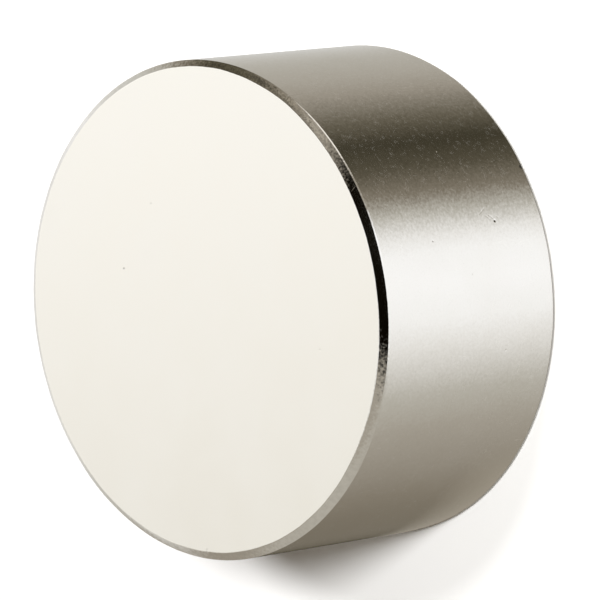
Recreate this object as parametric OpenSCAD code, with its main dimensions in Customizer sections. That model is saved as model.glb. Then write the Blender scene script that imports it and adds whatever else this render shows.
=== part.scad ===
// Plated disc magnet, lying flat on one of its two ground faces.
// The axis of the disc is Z and the lower face is at Z = 0. All lengths are in millimetres.

/* [Disc] */
// Diameter over the ground rim
disc_d = 40; // [12:1:120]
// Thickness between the two ground faces
disc_t = 20; // [4:0.5:60]

/* [Edges] */
// Width of the chamfer, measured across the face from the rim
chamfer_w = 0.6; // [0.3:0.05:1.5]
// Depth of the chamfer, measured along the rim from the face
chamfer_h = 0.5; // [0.3:0.05:1.5]
// Radius of the rounding between the chamfer and the rim
rim_edge_r = 0.2; // [0.05:0.05:0.3]
// Radius of the rounding between the chamfer and the face
face_edge_r = 0.1; // [0.05:0.05:0.3]

/* [Hidden] */

// Warm white of the nickel plating
nickel = "#E9E4D8";
// Smoothness of the rim and of the small edge arcs
rim_segments = 256;
arc_segments = 64;

rim_r = disc_d / 2;
half_t = disc_t / 2;
// Slope of the chamfer, counted from the face
chamfer_slope = atan2(chamfer_h, chamfer_w);
// Direction along the chamfer, from the rim up to the face
chamfer_dir = [-cos(chamfer_slope), sin(chamfer_slope)];
// How far each rounding reaches along the two lines that it joins
rim_reach = rim_edge_r * tan((90 - chamfer_slope) / 2);
face_reach = face_edge_r * tan(chamfer_slope / 2);
// The two corners of the chamfer before they are rounded, with the height counted from mid-thickness
rim_corner = [rim_r, half_t - chamfer_h];
face_corner = [rim_r - chamfer_w, half_t];

// The edge of the section above mid-thickness, from the rim over the chamfer to the face.
// Each rounding is a straight cut here, and its arc is added by edge_arcs.
edge_line = [
    rim_corner - [0, rim_reach],
    rim_corner + rim_reach * chamfer_dir,
    face_corner - face_reach * chamfer_dir,
    face_corner - [face_reach, 0]
];

// The same edge below mid-thickness, in the order that closes the outline
edge_line_below = [for (i = [len(edge_line) - 1:-1:0]) [edge_line[i][0], -edge_line[i][1]]];

// Arcs of one edge, each centred square to the line that it leaves
module edge_arcs() {
    translate(edge_line[0] - [rim_edge_r, 0]) circle(r = rim_edge_r, $fn = arc_segments);
    translate(edge_line[3] - [0, face_edge_r]) circle(r = face_edge_r, $fn = arc_segments);
}

// Half of the disc's section, from the axis out to the rim
module half_section() {
    polygon(concat(edge_line, [[0, half_t], [0, -half_t]], edge_line_below));
    edge_arcs();
    mirror([0, 1]) edge_arcs();
}

// The magnet: one sintered piece, ground true, chamfered at both ends and plated all over
module magnet_disc() {
    color(nickel)
        translate([0, 0, half_t])
            rotate_extrude($fn = rim_segments)
                half_section();
}

magnet_disc();
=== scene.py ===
import math

import bpy
import numpy as np
from mathutils import Matrix, Vector


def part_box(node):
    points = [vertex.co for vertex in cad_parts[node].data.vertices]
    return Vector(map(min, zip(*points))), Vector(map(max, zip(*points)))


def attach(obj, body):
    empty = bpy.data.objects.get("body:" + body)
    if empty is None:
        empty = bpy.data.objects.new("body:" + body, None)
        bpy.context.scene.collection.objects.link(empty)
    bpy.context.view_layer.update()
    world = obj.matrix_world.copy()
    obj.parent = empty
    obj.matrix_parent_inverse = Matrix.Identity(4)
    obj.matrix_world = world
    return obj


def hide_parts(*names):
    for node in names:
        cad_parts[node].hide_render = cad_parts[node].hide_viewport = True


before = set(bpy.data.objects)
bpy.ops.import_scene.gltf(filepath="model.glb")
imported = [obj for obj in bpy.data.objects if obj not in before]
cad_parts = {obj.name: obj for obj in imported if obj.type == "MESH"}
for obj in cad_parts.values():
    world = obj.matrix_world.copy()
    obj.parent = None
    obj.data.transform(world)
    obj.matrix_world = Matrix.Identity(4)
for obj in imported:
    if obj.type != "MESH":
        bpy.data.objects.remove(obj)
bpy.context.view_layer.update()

# The magnet: one disc of sintered magnet alloy, pressed, ground on both faces and on the rim,
# chamfered at both ends and plated all over with bright nickel. It lies on one of its faces.
disc_low, disc_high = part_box("magnet_disc")
rim_radius = min(disc_high.x, disc_high.y, -disc_low.x, -disc_low.y)
thickness = disc_high.z - disc_low.z
chamfer_width = 0.0006
chamfer_depth = 0.0005
rim_rounding = 0.0002
face_rounding = 0.00014
chamfer_slope = math.atan2(chamfer_depth, chamfer_width)
# The chamfer bulges slightly: it is this much flatter at the face and this much steeper at the rim.
chamfer_crown = math.radians(2.5)
# The finish of each part of the surface, by the place of its material in the mesh
on_face, on_edge, on_wall, in_pit = range(4)


def on_rim(at_bearing, at_height):
    """A place on the rim, by its bearing from -Y towards +X in degrees and its height."""
    turn = math.radians(at_bearing)
    return math.sin(turn) * rim_radius, -math.cos(turn) * rim_radius, at_height


def by_the_edge(at_bearing, from_rim, below_face=0.0):
    """A place on the upper face or chamfer, by bearing, way in from the rim and way down from the face."""
    turn = math.radians(at_bearing)
    radius = rim_radius - from_rim
    return math.sin(turn) * radius, -math.cos(turn) * radius, thickness - below_face


def pit(place, half_width, depth):
    """A round mark, which ends where it starts."""
    return place, place, half_width, depth


# The two pits that show most: one on the side of the rim, and a nick at the foot of it
side_pit = on_rim(12.0, 0.00587)
foot_nick = on_rim(24.3, 0.00060)
# The marks in the plating: where each one starts and ends, its half width and its depth.
# After the pits of the rim come the fine scratches beside the side pit, the specks of the
# upper face, and the small chips and scratches of the upper edge.
marks = (
    pit(side_pit, 0.00016, 0.000035),
    pit(foot_nick, 0.00020, 0.000040),
    pit(on_rim(9.1, 0.01340), 0.00010, 0.00002),
    pit(on_rim(0.6, 0.00961), 0.00010, 0.00002),
    pit(on_rim(-17.7, 0.00593), 0.00010, 0.00002),
    pit(on_rim(-38.5, 0.01608), 0.00012, 0.000012),
    pit(on_rim(-36.7, 0.01662), 0.00012, 0.000012),
    pit(on_rim(-29.8, 0.01728), 0.00010, 0.000008),
    pit(on_rim(30.4, 0.00910), 0.00010, 0.000012),
    (on_rim(15.2, 0.00665), on_rim(14.0, 0.00735), 0.00007, 0.000004),
    (on_rim(14.6, 0.00700), on_rim(13.6, 0.00720), 0.00006, 0.0000025),
    (on_rim(13.6, 0.00640), on_rim(12.6, 0.00600), 0.00006, 0.0000045),
    (on_rim(13.5, 0.00675), on_rim(12.4, 0.00632), 0.00006, 0.000004),
    (on_rim(13.2, 0.00560), on_rim(12.5, 0.00530), 0.00006, 0.000002),
    pit((0.00416, 0.00831, thickness), 0.00014, 0.000028),
    pit((0.00902, 0.00427, thickness), 0.00012, 0.000014),
    pit((-0.00417, -0.01248, thickness), 0.00012, 0.000014),
    (by_the_edge(-98.7, 0.00090), by_the_edge(-98.7, 0.00050), 0.00007, 0.000012),
    (by_the_edge(-101.0, 0.00045), by_the_edge(-101.3, 0.00020, 0.00030), 0.00007, 0.000010),
    (by_the_edge(-109.8, 0.00060), by_the_edge(-110.2, 0.00030, 0.00020), 0.00008, 0.000010),
    (by_the_edge(51.8, 0.00055), by_the_edge(52.4, 0.00000, 0.00045), 0.00008, 0.000008),
    (by_the_edge(23.5, 0.00045, 0.00010), by_the_edge(24.2, 0.00010, 0.00040), 0.00007, 0.000005),
    (by_the_edge(-71.5, 0.00030, 0.00022), by_the_edge(-70.3, 0.00020, 0.00030), 0.00008, 0.000008),
)
# Where the floor of a pit is dull and painted dark as shade: its middle and how far that part reaches
dull_and_shaded_spots = ((side_pit, 0.00009), (foot_nick, 0.00019))


def edge_outline():
    """Radius, height, slope of the surface and finish of each ring of the upper edge, from face to rim."""
    face_steps = 6
    flat_steps = 9
    rim_steps = 8
    face_slope = chamfer_slope - chamfer_crown
    rim_slope = chamfer_slope + chamfer_crown
    face_reach = face_rounding * math.tan(face_slope / 2)
    rim_reach = rim_rounding * math.tan((math.pi / 2 - rim_slope) / 2)
    face_start = rim_radius - chamfer_width - face_reach
    rim_end = thickness - chamfer_depth - rim_reach
    by_the_face = []
    for step in range(face_steps + 1):
        slope = face_slope * step / face_steps
        by_the_face.append((face_start + face_rounding * math.sin(slope),
                            thickness - face_rounding * (1 - math.cos(slope)), slope, on_edge))
    by_the_rim = []
    for step in range(rim_steps + 1):
        slope = rim_slope + (math.pi / 2 - rim_slope) * step / rim_steps
        by_the_rim.append((rim_radius - rim_rounding * (1 - math.sin(slope)),
                           rim_end + rim_rounding * math.cos(slope), slope, on_edge))
    upper = by_the_face[-1]
    lower = by_the_rim[0]
    bulge = math.hypot(lower[0] - upper[0], lower[1] - upper[1]) * chamfer_crown / 4
    flat = []
    for step in range(1, flat_steps):
        share = step / flat_steps
        raised = bulge * 4 * share * (1 - share)
        flat.append((upper[0] + (lower[0] - upper[0]) * share + raised * math.sin(chamfer_slope),
                     upper[1] + (lower[1] - upper[1]) * share + raised * math.cos(chamfer_slope),
                     face_slope + (rim_slope - face_slope) * share, on_edge))
    return by_the_face + flat + by_the_rim


def lines_with_more_near(lines, marked, least):
    """The given lines, with close lines across each marked stretch, but no two nearer than the least."""
    past_the_mark = 1.3
    finest_share = 0.35
    every = [(float(line), False) for line in lines]
    for low, high, wide in marked:
        reach = high - low + 2 * past_the_mark * wide
        count = max(int(reach / max(finest_share * wide, 1.05 * least)), 4)
        for number in range(count + 1):
            outermost = number in (0, count)
            every.append((low - past_the_mark * wide + reach * number / count, outermost))
    kept = []
    for line, outermost in sorted(every):
        if kept and line - kept[-1][0] < least:
            if outermost and not kept[-1][1]:
                kept[-1] = (line, True)
            continue
        kept.append((line, outermost))
    return [line for line, outermost in kept]


# The chamfer isn't ground quite true, so its width and depth differ a little around the disc.
# Bearing in degrees, then the share of the drawn width and of the drawn depth.
chamfer_shares = (
    (-180, 1.08, 0.84), (-140, 1.04, 0.88), (-120, 1.06, 1.00), (-98, 1.12, 1.05), (-60, 0.98, 0.98),
    (-30, 1.02, 1.00), (-5, 1.10, 1.08), (20, 1.00, 1.00), (48, 0.84, 0.84), (52, 0.78, 0.78),
    (56, 0.84, 0.82), (105, 0.84, 0.80), (125, 1.00, 0.84), (180, 1.08, 0.84))


def chamfer_share(at_bearing, which):
    """The share of the drawn width (1) or depth (2) at a bearing, with a slight unevenness."""
    even = np.interp(at_bearing, [row[0] for row in chamfer_shares], [row[which] for row in chamfer_shares])
    turn = math.radians(at_bearing)
    long_waves = 0.015 * math.sin(17 * turn + which)
    short_waves = 0.012 * math.sin(41 * turn + 2.0)
    return even + long_waves + short_waves


def turn_disc():
    """The bearings of the disc's points, and the rings that they lie on, from the upper face down."""
    between_bearings = 2.0
    least_turn = 0.12
    least_gap = 0.00004
    beside_edge = 0.00008
    first_ring = 0.0004
    between_face_rings = 0.0015
    between_low_rings = 0.003
    marked_bearings = []
    marked_radii = []
    marked_heights = []
    for start, end, wide, deep in marks:
        radii = sorted(math.hypot(x, y) for x, y, z in (start, end))
        turns = sorted(math.degrees(math.atan2(x, -y)) for x, y, z in (start, end))
        marked_bearings.append((turns[0], turns[1], math.degrees(wide / radii[0])))
        if start[2] > thickness - chamfer_depth:
            marked_radii.append((radii[0], radii[1], wide))
        else:
            marked_heights.append((min(start[2], end[2]), max(start[2], end[2]), wide))
    even_bearings = [step * between_bearings - 180 for step in range(int(360 / between_bearings))]
    bearings = lines_with_more_near(even_bearings, marked_bearings, least_turn)
    edge = edge_outline()
    face_end = edge[0][0] - beside_edge
    even_radii = [first_ring + between_face_rings * step for step in range(13)]
    face_radii = lines_with_more_near(even_radii, marked_radii, least_gap)
    face_radii = [radius for radius in face_radii if radius < face_end - least_gap] + [face_end]
    wall_top = edge[-1][1] - beside_edge
    wall_low = thickness - wall_top
    even_heights = [wall_low + (wall_top - wall_low) * step / 10 for step in range(1, 10)]
    wall_heights = lines_with_more_near(even_heights, marked_heights, least_gap)
    wall_heights = [height for height in wall_heights if wall_low < height < wall_top]
    wall_heights = [wall_low] + wall_heights + [wall_top]
    low_radii = [first_ring + between_low_rings * step for step in range(7)]
    rings = [(radius, thickness, 0.0, on_face) for radius in face_radii]
    rings += edge
    rings += [(rim_radius, height, math.pi / 2, on_wall) for height in reversed(wall_heights)]
    rings += [(radius, thickness - height, math.pi - slope, finish)
              for radius, height, slope, finish in reversed(edge)]
    rings += [(radius, 0.0, math.pi, on_face) for radius in reversed(low_radii)]
    return bearings, rings


def mark_depth(place):
    """How deep the marks go at each of the given points."""
    total = np.zeros(place.shape[:-1])
    for start, end, wide, deep in marks:
        start = np.array(start)
        line = np.array(end) - start
        share = np.clip((place - start) @ line / max(line @ line, 1e-12), 0, 1)
        reach = np.linalg.norm(place - start - share[..., None] * line, axis=-1) / wide
        total += deep * np.clip(1 - reach ** 2, 0, None) ** 2
    return total


def disc_surface(bearings, rings):
    """Every point of the disc, ring by ring, with its marks, and the direction of the surface there."""
    turn = np.radians(np.array(bearings))[None, :]
    radius = np.array([ring[0] for ring in rings])[:, None]
    height = np.array([ring[1] for ring in rings])[:, None]
    slope = np.array([ring[2] for ring in rings])[:, None]
    wider = np.array([chamfer_share(bearing, 1) for bearing in bearings])[None, :]
    deeper = np.array([chamfer_share(bearing, 2) for bearing in bearings])[None, :]

    # The edges grow and shrink around the sharp corner that the chamfer was ground from.
    edge_zone = 0.0011
    near_top = (height > thickness - edge_zone) & (radius > rim_radius - edge_zone)
    near_low = (height < edge_zone) & (radius > rim_radius - edge_zone)
    corner = np.where(near_top, thickness, 0.0)
    at_edge = near_top | near_low
    radius_there = np.where(at_edge, rim_radius + (radius - rim_radius) * wider, radius + 0 * turn)
    height_there = np.where(at_edge, corner + (height - corner) * deeper, height + 0 * turn)

    outward = np.stack([np.sin(turn), -np.cos(turn), 0 * turn], -1)
    along = np.stack([np.cos(turn), np.sin(turn), 0 * turn], -1)
    up = np.array([0.0, 0.0, 1.0])
    points = outward * radius_there[..., None] + up * height_there[..., None]
    outward_part = np.where(at_edge, np.sin(slope) / wider, np.sin(slope) + 0 * turn)
    upward_part = np.where(at_edge, np.cos(slope) / deeper, np.cos(slope) + 0 * turn)
    normal = outward * outward_part[..., None] + up * upward_part[..., None]
    normal /= np.linalg.norm(normal, axis=-1)[..., None]
    along = np.broadcast_to(along, points.shape)
    across = np.cross(normal, along)

    # The walls of the marks lean by how fast the depth changes over a tiny step to either side.
    nudge = 1e-6
    ahead, behind = points + along * nudge, points - along * nudge
    lean_along = (mark_depth(ahead) - mark_depth(behind)) / (2 * nudge)
    ahead, behind = points + across * nudge, points - across * nudge
    lean_across = (mark_depth(ahead) - mark_depth(behind)) / (2 * nudge)
    sunk = points - normal * mark_depth(points)[..., None]
    shown = normal + along * lean_along[..., None] + across * lean_across[..., None]
    shown /= np.linalg.norm(shown, axis=-1)[..., None]
    return sunk.reshape(-1, 3).tolist(), shown.reshape(-1, 3).tolist()


def disc_faces(count, rings):
    """The faces between the rings and around the two centres, and the finish of each one."""
    top_centre = len(rings) * count
    low_centre = top_centre + 1
    faces = []
    finishes = []
    for ring in range(len(rings) - 1):
        # Only a strip with an edge ring on both sides belongs to the edge.
        finish = rings[ring][3] if rings[ring][3] != on_edge else rings[ring + 1][3]
        for step in range(count):
            following = (step + 1) % count
            faces.append((ring * count + step, (ring + 1) * count + step,
                          (ring + 1) * count + following, ring * count + following))
            finishes.append(finish)
    last = (len(rings) - 1) * count
    for step in range(count):
        following = (step + 1) % count
        faces.append((top_centre, step, following))
        faces.append((low_centre, last + following, last + step))
        finishes += [on_face, on_face]
    return faces, finishes


def disc_mesh():
    """The whole disc as one closed mesh, shaded by the true direction of its surface."""
    bearings, rings = turn_disc()
    corners, directions = disc_surface(bearings, rings)
    corners += [[0, 0, thickness], [0, 0, 0]]
    directions += [[0, 0, 1], [0, 0, -1]]
    faces, finishes = disc_faces(len(bearings), rings)
    middles = np.array([np.mean([corners[corner] for corner in face], axis=0) for face in faces])
    # The faces of a pit's floor get the dull finish with the painted shade
    for middle, reach in dull_and_shaded_spots:
        for number in np.nonzero(np.linalg.norm(middles - np.array(middle), axis=-1) < reach)[0]:
            finishes[number] = in_pit
    mesh = bpy.data.meshes.new("magnet")
    mesh.from_pydata(corners, [], faces)
    mesh.polygons.foreach_set("material_index", finishes)
    mesh.polygons.foreach_set("use_smooth", [True] * len(faces))
    mesh.update()
    mesh.normals_split_custom_set_from_vertices(directions)
    return mesh


magnet = bpy.data.objects.new("magnet", disc_mesh())
bpy.context.scene.collection.objects.link(magnet)


def feed(tree, socket, value):
    """Sets an input of a node to a number or a colour, or links the output of another node to it."""
    if isinstance(value, bpy.types.NodeSocket):
        tree.links.new(value, socket)
    else:
        socket.default_value = value


def rescaled(tree, value, low, high, to_low=0.0, to_high=1.0, soft=False):
    """Takes a value from one range to another, evenly or along a soft curve, and holds it at both ends."""
    step = tree.nodes.new("ShaderNodeMapRange")
    step.interpolation_type = "SMOOTHSTEP" if soft else "LINEAR"
    feed(tree, step.inputs["Value"], value)
    feed(tree, step.inputs["From Min"], low)
    feed(tree, step.inputs["From Max"], high)
    feed(tree, step.inputs["To Min"], to_low)
    feed(tree, step.inputs["To Max"], to_high)
    return step.outputs["Result"]


def vector_step(tree, operation, *values):
    """One step of arithmetic on directions or colours. Its result is in the outputs Vector or Value."""
    step = tree.nodes.new("ShaderNodeVectorMath")
    step.operation = operation
    for socket, value in zip(step.inputs, values):
        feed(tree, socket, value)
    return step


def scaled(tree, colour, by):
    """A colour or direction times a number."""
    step = vector_step(tree, "SCALE", colour)
    feed(tree, step.inputs["Scale"], by)
    return step.outputs["Vector"]


def grain(tree, scale, detail):
    """A fine even grain over the whole surface."""
    noise = tree.nodes.new("ShaderNodeTexNoise")
    noise.inputs["Scale"].default_value = scale
    noise.inputs["Detail"].default_value = detail
    place = tree.nodes.new("ShaderNodeTexCoord")
    tree.links.new(place.outputs["Object"], noise.inputs["Vector"])
    return noise


# The darker and the paler colour of the plating, and the very dark colour of the floor of a pit, which is
# painted shade in the hollow
bright_nickel = ((0.885, 0.860, 0.800, 1), (0.910, 0.887, 0.832, 1))
painted_pit_shade = ((0.08, 0.07, 0.055, 1), (0.12, 0.11, 0.09, 1))


def nickel(name, colours, roughness, roughness_spread):
    """Nickel plating with a slight cloudiness in its colour and its polish."""
    material = bpy.data.materials.new(name)
    material.use_nodes = True
    tree = material.node_tree
    shader = tree.nodes["Principled BSDF"]
    shader.inputs["Metallic"].default_value = 1.0
    clouds = grain(tree, 160.0, 4.0)
    tone = tree.nodes.new("ShaderNodeValToRGB")
    for element, position, colour in zip(tone.color_ramp.elements, (0.35, 0.65), colours):
        element.position = position
        element.color = colour
    tree.links.new(clouds.outputs["Fac"], tone.inputs["Fac"])
    tree.links.new(tone.outputs["Color"], shader.inputs["Base Color"])
    polish = rescaled(tree, clouds.outputs["Fac"], 0.3, 0.7,
                      roughness - roughness_spread, roughness + roughness_spread)
    tree.links.new(polish, shader.inputs["Roughness"])
    return material


def add_relief(material, scale, detail, depth):
    """Lets a grain stand out of the surface by the given depth, on top of the relief already there."""
    tree = material.node_tree
    normal = tree.nodes["Principled BSDF"].inputs["Normal"]
    relief = tree.nodes.new("ShaderNodeBump")
    relief.inputs["Strength"].default_value = 1.0
    relief.inputs["Distance"].default_value = depth
    tree.links.new(grain(tree, scale, detail).outputs["Fac"], relief.inputs["Height"])
    if normal.is_linked:
        tree.links.new(normal.links[0].from_socket, relief.inputs["Normal"])
    tree.links.new(relief.outputs["Normal"], normal)


def add_crystals(material, scale, lean):
    """Tiny crystals of nickel side by side, each leaning its own way by about the given slope."""
    tree = material.node_tree
    surface = tree.nodes.new("ShaderNodeNewGeometry")
    # The grain lies mostly within a tenth of 0.5, so ten times as much runs from about -1 to 1.
    leaning = vector_step(tree, "MULTIPLY_ADD", grain(tree, scale, 1).outputs["Color"],
                          (lean * 10, lean * 10, lean * 10), (lean * -5, lean * -5, lean * -5))
    both_ways = vector_step(tree, "ADD", surface.outputs["Normal"], leaning.outputs["Vector"])
    evened = vector_step(tree, "NORMALIZE", both_ways.outputs["Vector"])
    tree.links.new(evened.outputs["Vector"], tree.nodes["Principled BSDF"].inputs["Normal"])


def add_mottle(material, scale, spread):
    """Makes the colour of the plating a little darker and paler from spot to spot."""
    tree = material.node_tree
    base = tree.nodes["Principled BSDF"].inputs["Base Color"]
    spots = rescaled(tree, grain(tree, scale, 2).outputs["Fac"], 0.35, 0.65, 1.0 - spread, 1.0 + spread)
    tree.links.new(scaled(tree, base.links[0].from_socket, spots), base)


def add_dull_grains(material, scale, share):
    """Small dull spots, which scatter a little light also where the plating mirrors something dark."""
    tree = material.node_tree
    dulled = rescaled(tree, grain(tree, scale, 2).outputs["Fac"], 0.55, 0.70, 1.0, 1.0 - share)
    tree.links.new(dulled, tree.nodes["Principled BSDF"].inputs["Metallic"])


face_finish = nickel("nickel_face", bright_nickel, 0.24, 0.02)
add_relief(face_finish, 2500, 2, 0.0000008)

edge_finish = nickel("nickel_edge", bright_nickel, 0.08, 0.02)
add_crystals(edge_finish, 5000, 0.020)
add_relief(edge_finish, 900, 1, 0.0000030)
add_mottle(edge_finish, 2600, 0.03)

rim_finish = nickel("nickel_rim", bright_nickel, 0.115, 0.015)
add_crystals(rim_finish, 4500, 0.008)
add_relief(rim_finish, 420, 1, 0.000010)
add_dull_grains(rim_finish, 2200, 0.030)

# The floor of a pit: rough plating whose dark colour is painted shade in the hollow
dull_shaded_pit_finish = nickel("nickel_pit_painted_shade", painted_pit_shade, 0.55, 0.05)

for finish in (face_finish, edge_finish, rim_finish, dull_shaded_pit_finish):
    magnet.data.materials.append(finish)
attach(magnet, "root")
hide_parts("magnet_disc")

# The floor: a plain white sheet under the magnet, which keeps its shadow and is white where none falls.
# The lamps light it near the magnet, and further out it is white by itself. The plating doesn't mirror it,
# because the cards of the studio go on below the table.
half_sheet = 3.0
floor_corners = [(-half_sheet, -half_sheet, 0), (half_sheet, -half_sheet, 0),
                 (half_sheet, half_sheet, 0), (-half_sheet, half_sheet, 0)]
floor_mesh = bpy.data.meshes.new("floor")
floor_mesh.from_pydata(floor_corners, [], [(0, 1, 2, 3)])
floor = bpy.data.objects.new("floor", floor_mesh)
bpy.context.scene.collection.objects.link(floor)
floor.visible_glossy = False


def from_the_axis(tree):
    """How far a place on the table is from the magnet's axis."""
    place = tree.nodes.new("ShaderNodeTexCoord")
    return vector_step(tree, "LENGTH", place.outputs["Object"]).outputs["Value"]


floor_white = bpy.data.materials.new("floor_white")
floor_white.use_nodes = True
sheet = floor_white.node_tree
sheet.nodes.remove(sheet.nodes["Principled BSDF"])
paper = sheet.nodes.new("ShaderNodeBsdfDiffuse")
paper.inputs["Color"].default_value = (0.95, 0.95, 0.95, 1)
glow = sheet.nodes.new("ShaderNodeEmission")
further_out = rescaled(sheet, from_the_axis(sheet), 0.08, 0.30, 0.03, 1.00, soft=True)
sheet.links.new(further_out, glow.inputs["Strength"])
glow_seen = sheet.nodes.new("ShaderNodeMixShader")
sheet.links.new(sheet.nodes.new("ShaderNodeLightPath").outputs["Is Camera Ray"], glow_seen.inputs["Fac"])
sheet.links.new(glow.outputs["Emission"], glow_seen.inputs[2])
paper_and_glow = sheet.nodes.new("ShaderNodeAddShader")
sheet.links.new(paper.outputs["BSDF"], paper_and_glow.inputs[0])
sheet.links.new(glow_seen.outputs["Shader"], paper_and_glow.inputs[1])
sheet.links.new(paper_and_glow.outputs["Shader"], sheet.nodes["Material Output"].inputs["Surface"])
floor_mesh.materials.append(floor_white)

# The studio: plain white to the camera, with a weak warm fill and one soft card in front for the floor.
# What the plating mirrors is a low and a high ring of pale and grey cards around the table, with single
# cards and a black flag in front of them. Each has a bearing and a height in degrees, seen from the magnet.
world = bpy.data.worlds.new("studio")
bpy.context.scene.world = world
world.use_nodes = True
studio = world.node_tree
background = studio.nodes["Background"]


def calculate(tree, operation, *values):
    """One step of arithmetic on numbers or on other steps."""
    step = tree.nodes.new("ShaderNodeMath")
    step.operation = operation
    for socket, value in zip(step.inputs, values):
        feed(tree, socket, value)
    return step.outputs["Value"]


direction = studio.nodes.new("ShaderNodeTexCoord").outputs["Generated"]
parts = studio.nodes.new("ShaderNodeSeparateXYZ")
studio.links.new(direction, parts.inputs["Vector"])
towards_camera = calculate(studio, "MULTIPLY", parts.outputs["Y"], -1.0)
turned = calculate(studio, "ARCTAN2", parts.outputs["X"], towards_camera)
bearing = calculate(studio, "MULTIPLY", turned, 180 / math.pi)
elevation = calculate(studio, "MULTIPLY", calculate(studio, "ARCSINE", parts.outputs["Z"]), 180 / math.pi)


def card_colour(level):
    """The white cards are neutral, and the grey ones are a little warm, up to 0.20 the most."""
    warmth = min(max((0.55 - level) / 0.35, 0.0), 1.0)
    whiteness = min(max((level - 0.75) / 0.25, 0.0), 1.0)
    return (level * (1.01 + 0.115 * warmth - 0.022 * whiteness), level, 1.03 * level ** 1.15, 1)


def ring_of_cards(stops):
    """Brightness by bearing, from the bearing -180 over -Y (0) and +X (90) to 180."""
    ramp = studio.nodes.new("ShaderNodeValToRGB")
    elements = ramp.color_ramp.elements
    elements.remove(elements[1])
    for number, (at, level) in enumerate(stops):
        position = (at + 180) / 360
        element = elements[0] if number == 0 else elements.new(position)
        element.position = position
        element.color = card_colour(level)
    all_round = calculate(studio, "DIVIDE", calculate(studio, "ADD", bearing, 180.0), 360.0)
    studio.links.new(all_round, ramp.inputs["Fac"])
    return ramp.outputs["Color"]


def mixed(share, first, second):
    """First where the share is 0 and second where it is 1."""
    mix = studio.nodes.new("ShaderNodeMix")
    mix.data_type = "RGBA"
    mix.clamp_factor = True
    studio.links.new(share, mix.inputs["Factor"])
    feed(studio, mix.inputs[6], first)
    feed(studio, mix.inputs[7], second)
    return mix.outputs[2]


def above(height, softness):
    """0 below a height in the studio and 1 above it, over a soft band."""
    return rescaled(studio, elevation, height - softness, height + softness, soft=True)


def within(value, half_width, softness):
    """1 where a value is within the half width of zero, over a soft band to 0."""
    size = calculate(studio, "ABSOLUTE", value)
    return rescaled(studio, size, half_width + softness, half_width - softness, soft=True)


def card_share(at_bearing, at_height, half_width, half_height, softness, side_softness):
    """1 where a card or flag stands, by its middle and its size, and 0 beside it, over soft bands."""
    away = calculate(studio, "SUBTRACT", bearing, float(at_bearing))
    sideways = calculate(studio, "WRAP", away, 180.0, -180.0)
    upwards = calculate(studio, "SUBTRACT", elevation, float(at_height))
    return calculate(studio, "MULTIPLY", within(sideways, half_width, side_softness),
                     within(upwards, half_height, softness))


# The low ring is mirrored in the rim, and the high ring in the upper edge: bearing, then brightness.
low_ring = ring_of_cards((
    (-180, 0.02), (-172, 0.04), (-164, 0.13), (-150, 0.17), (-138, 0.176), (-125, 0.188), (-110, 0.221),
    (-70, 0.37), (-52, 0.49), (-30, 0.84), (-18, 1.00), (0, 1.05), (14, 1.02), (22, 0.88), (32, 0.51),
    (42, 0.20), (56, 0.08), (70, 0.04), (84, 0.115), (104, 0.315), (118, 0.40), (140, 0.47), (168, 0.64),
    (180, 0.70)))
high_ring = ring_of_cards((
    (-180, 0.74), (-177, 0.76), (-174, 0.78), (-172, 0.74), (-170, 0.64), (-168, 0.58), (-165, 0.49),
    (-155, 0.34), (-144, 0.30), (-134, 0.30), (-122, 0.42), (-100, 0.44), (-58, 0.42), (-40, 0.48),
    (-20, 1.00), (20, 1.10), (36, 0.32), (56, 0.26), (77, 0.31), (91, 0.23), (104, 0.155), (113, 0.065),
    (127, 0.085), (133, 0.22), (140, 0.48), (148, 0.60), (154, 0.71), (159, 0.83), (162, 0.92),
    (168, 0.79), (174, 0.82), (180, 0.75)))
seen_in_nickel = mixed(above(-38, 5), low_ring, high_ring)

# The pale ceiling, mirrored in the rounding between the face and the chamfer at the front
seen_in_nickel = mixed(above(66, 5), seen_in_nickel, card_colour(0.92))

# The single cards, each in front of those before it: bearing and height of the middle, half width and half
# height, softness of the upper and lower edges and of the sides, and colour. A tall white card is mirrored in
# the rounding at the top of the rim, and a grey and a black one in the rounding at its foot. The others are
# for the chamfer: a grey one high on the -X side, the black flag over the camera, and a pale and a small grey
# one behind on the -X side.
single_cards = (
    (66.5, -5, 14, 30, 5, 8, (0.96, 0.927, 0.882, 1)),
    (0, -80, 36, 14, 6, 10, card_colour(0.38)),
    (64, -76, 38, 16, 6, 12, card_colour(0.01)),
    (-58, 53, 26, 9, 5, 5, card_colour(0.35)),
    (12.5, 53.6, 52.5, 16.8, 7, 13, (0.0025, 0.0015, 0.0004, 1)),
    (-160, 10, 10, 19, 10, 8, card_colour(0.70)),
    (-155, -22, 5, 8, 5, 4, card_colour(0.25)),
)
for *place_and_size, colour in single_cards:
    seen_in_nickel = mixed(card_share(*place_and_size), seen_in_nickel, colour)

# The wall on the +X side is uneven, which makes the chamfer mottled there.
uneven = studio.nodes.new("ShaderNodeTexNoise")
uneven.inputs["Scale"].default_value = 11.0
uneven.inputs["Detail"].default_value = 2.0
studio.links.new(direction, uneven.inputs["Vector"])
draped = scaled(studio, seen_in_nickel, rescaled(studio, uneven.outputs["Fac"], 0.35, 0.65, 0.50, 1.50))
seen_in_nickel = mixed(card_share(102, 27, 30, 22, 8, 8), seen_in_nickel, draped)

# The large white card behind the table is mirrored in the whole upper face, and is brighter towards +X.
grading = studio.nodes.new("ShaderNodeValToRGB")
grading.color_ramp.elements[0].color = (0.72, 0.70, 0.64, 1)
grading.color_ramp.elements[1].color = (1.21, 1.21, 1.21, 1)
studio.links.new(calculate(studio, "MULTIPLY_ADD", parts.outputs["X"], 8.4, 0.73), grading.inputs["Fac"])
seen_in_nickel = mixed(card_share(180, 46, 26, 15, 6, 6), seen_in_nickel, grading.outputs["Color"])

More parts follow.
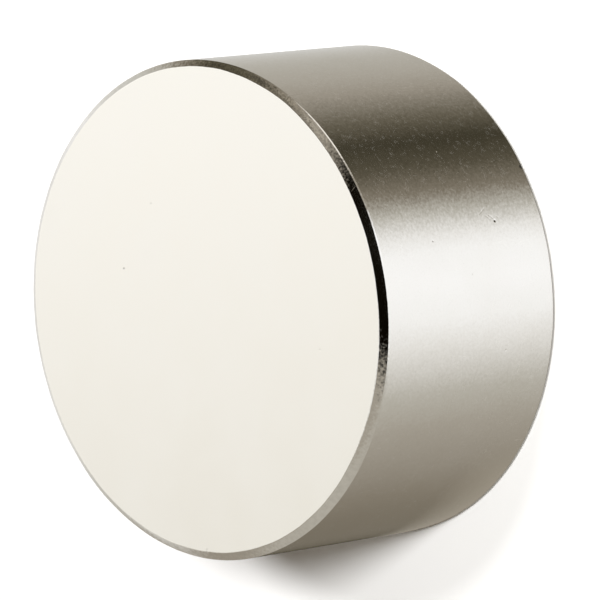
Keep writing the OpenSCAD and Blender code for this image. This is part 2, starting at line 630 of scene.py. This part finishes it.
# The camera finds the white studio, the plating finds the cards, and everything else the fill.
paths = studio.nodes.new("ShaderNodeLightPath")
on_the_floor = mixed(card_share(30, 30, 36, 20, 12, 12), (0.05, 0.03, 0.01, 1), (1.1, 1.1, 1.0, 1))
for_the_rest = mixed(paths.outputs["Is Glossy Ray"], on_the_floor, seen_in_nickel)
studio_colour = mixed(paths.outputs["Is Camera Ray"], for_the_rest, (1, 1, 1, 1))
studio.links.new(studio_colour, background.inputs["Color"])
background.inputs["Strength"].default_value = 1.0

# The low card: a strip of pale card laid on the table beside the disc on its -X side. The foot of the rim
# mirrors it. It glows by itself, fades outwards and at both ends, and shows in reflections only.
strip_inside = rim_radius + 0.0002
strip_outside = rim_radius + 0.0050
strip_height = 0.00002
strip_steps = 24
strip_points = []
for step in range(strip_steps + 1):
    turn = math.radians(-150 + 5 * step)
    for radius in (strip_inside, strip_outside):
        strip_points.append((math.sin(turn) * radius, -math.cos(turn) * radius, strip_height))
strip_faces = [(2 * step, 2 * step + 1, 2 * step + 3, 2 * step + 2) for step in range(strip_steps)]
strip_mesh = bpy.data.meshes.new("low_card")
strip_mesh.from_pydata(strip_points, [], strip_faces)
low_card = bpy.data.objects.new("low_card", strip_mesh)
bpy.context.scene.collection.objects.link(low_card)
low_card.visible_camera = False
low_card.visible_diffuse = False
low_card.visible_shadow = False

card_glow = bpy.data.materials.new("card_glow")
card_glow.use_nodes = True
strip = card_glow.node_tree
strip.nodes.remove(strip.nodes["Principled BSDF"])
apart = strip.nodes.new("ShaderNodeSeparateXYZ")
strip.links.new(strip.nodes.new("ShaderNodeTexCoord").outputs["Object"], apart.inputs["Vector"])
# The card is wider at the front, and both ends fade by how far back a place is.
how_far_back = apart.outputs["Y"]
outer_line = rescaled(strip, how_far_back, -0.009, 0.001, rim_radius + 0.0043, rim_radius + 0.0019)
outwards = rescaled(strip, from_the_axis(strip), outer_line, strip_inside)
front_end = rescaled(strip, how_far_back, -0.017, -0.011, soft=True)
back_end = rescaled(strip, how_far_back, 0.015, 0.005, soft=True)
between_ends = calculate(strip, "MULTIPLY", front_end, back_end)
card_part = calculate(strip, "MULTIPLY", calculate(strip, "POWER", outwards, 1.2), between_ends)
clear = strip.nodes.new("ShaderNodeBsdfTransparent")
pale = strip.nodes.new("ShaderNodeEmission")
pale.inputs["Color"].default_value = (0.345, 0.315, 0.265, 1)
card_mix = strip.nodes.new("ShaderNodeMixShader")
strip.links.new(card_part, card_mix.inputs["Fac"])
strip.links.new(clear.outputs["BSDF"], card_mix.inputs[1])
strip.links.new(pale.outputs["Emission"], card_mix.inputs[2])
strip.links.new(card_mix.outputs["Shader"], strip.nodes["Material Output"].inputs["Surface"])
strip_mesh.materials.append(card_glow)

# The two lamps: a round soft box in front of the magnet and a little to the +X side, so the shadow falls
# behind it, and a weaker one high up on the +X side, whose shadow is short and pale. Neither is mirrored.
lamp_distance = 0.8
lamp_size = 0.16


def soft_box(name, watts, at_bearing, at_height):
    """A round soft lamp aimed at the middle of the magnet's foot, by its bearing and height in degrees."""
    light = bpy.data.lights.new(name, "AREA")
    light.shape = "DISK"
    light.size = lamp_size
    light.energy = watts
    lamp = bpy.data.objects.new(name, light)
    bpy.context.scene.collection.objects.link(lamp)
    turn = math.radians(at_bearing)
    rise = math.radians(at_height)
    sideways = math.cos(rise)
    towards_lamp = Vector((math.sin(turn) * sideways, -math.cos(turn) * sideways, math.sin(rise)))
    lamp.location = towards_lamp * lamp_distance
    lamp.rotation_euler = (-lamp.location).to_track_quat("-Z", "Y").to_euler()
    lamp.visible_glossy = False


soft_box("front_lamp", 5.3, 12.6, 57.4)
soft_box("side_lamp", 2.8, 75.0, 70.0)

# The camera: a long lens that looks down on the upper face at 45 degrees from the -Y side. It is rolled, so
# that +X is up in the picture. Its place is given by where it sees the middle of the upper face.
camera_height = math.radians(45.295)
camera_roll = math.radians(-97.254)
back = Vector((0, -math.cos(camera_height), math.sin(camera_height)))
level_right = Vector((1, 0, 0))
level_up = Vector((0, math.sin(camera_height), math.cos(camera_height)))
right = level_right * math.cos(camera_roll) + level_up * math.sin(camera_roll)
upright = level_up * math.cos(camera_roll) - level_right * math.sin(camera_roll)
# How far the middle of the upper face is to the right of the lens's axis, below it and in front of the lens
face_right = -0.007766
face_down = 0.000888
face_away = 0.488378
place = Vector((0, 0, thickness)) - right * face_right + upright * face_down + back * face_away
view = bpy.data.cameras.new("camera")
view.sensor_width = 36
view.lens = 368.8
view.clip_start = 0.01
view.clip_end = 20
camera = bpy.data.objects.new("camera", view)
bpy.context.scene.collection.objects.link(camera)
camera.matrix_world = Matrix((
    (right.x, upright.x, back.x, place.x),
    (right.y, upright.y, back.y, place.y),
    (right.z, upright.z, back.z, place.z),
    (0, 0, 0, 1)))
bpy.context.scene.camera = camera
bpy.context.scene.view_settings.view_transform = "Standard"
